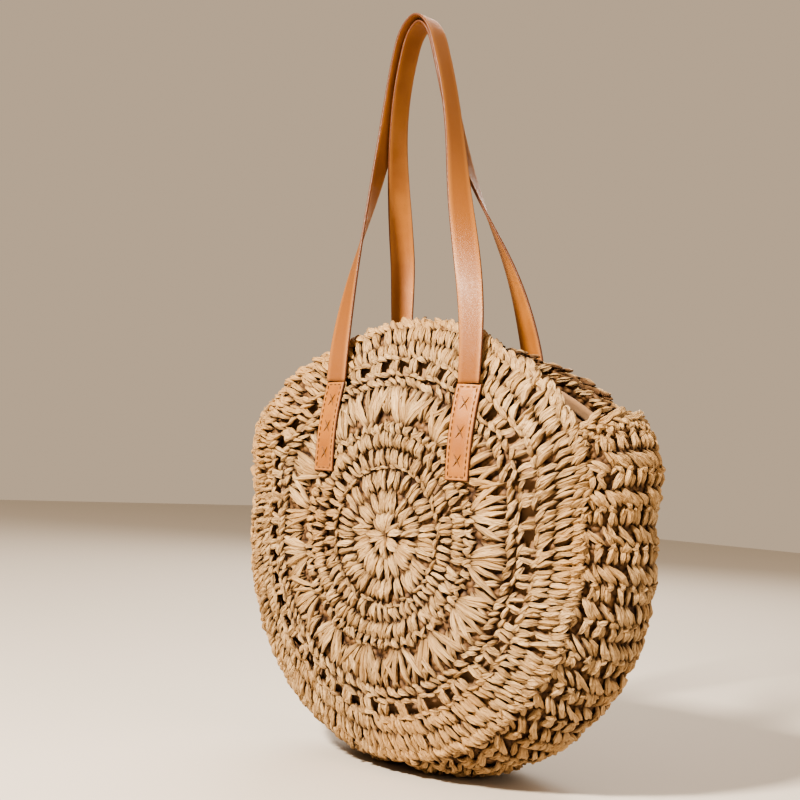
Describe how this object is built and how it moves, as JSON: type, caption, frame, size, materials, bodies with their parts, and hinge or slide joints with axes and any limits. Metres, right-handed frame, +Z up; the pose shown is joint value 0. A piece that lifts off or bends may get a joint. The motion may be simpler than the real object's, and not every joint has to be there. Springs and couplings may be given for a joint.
{
  "type": "beach bag",
  "caption": "Round crocheted straw shoulder bag with an open mouth, a cloth lining and two flat leather straps.",
  "frame": {"origin": "on the floor below the middle of the bag", "axes": "+Z up, front faces -Y, right side is +X"},
  "size_m": [0.428, 0.152, 0.673],
  "materials": {
    "straw": "crocheted paper straw, natural, matt with a slight sheen",
    "leather": "caramel leather with fine grain, satin, painted edges",
    "cloth": "plain woven cotton lining",
    "thread": "waxed thread"
  },
  "bodies": {
    "bag": {"back_hem": "cloth", "back_lining": "cloth", "back_panel": "straw", "back_rim": "straw", "back_seam": "straw", "back_stitching_left": "thread", "back_stitching_right": "thread", "back_strap_end_left": "leather", "back_strap_end_right": "leather", "front_hem": "cloth", "front_lining": "cloth", "front_panel": "straw", "front_rim": "straw", "front_seam": "straw", "front_stitching_left": "thread", "front_stitching_right": "thread", "front_strap_end_left": "leather", "front_strap_end_right": "leather", "gusset": "straw", "gusset_lining": "cloth", "left_ear_edging": "straw", "right_ear_edging": "straw", "slip_pocket": "cloth"},
    "front_strap": {"front_strap": "leather"},
    "back_strap": {"back_strap": "leather"}
  },
  "joints": [
    {"name": "front_strap_fold", "type": "hinge", "parent": "bag", "child": "front_strap", "pos_m": [0, -0.06662, 0.33158], "axis": [1, 0, 0], "range_deg": [0, 165]},
    {"name": "back_strap_fold", "type": "hinge", "parent": "bag", "child": "back_strap", "pos_m": [0, 0.0401, 0.33196], "axis": [-1, 0, 0], "range_deg": [0, 155]}
  ]
}
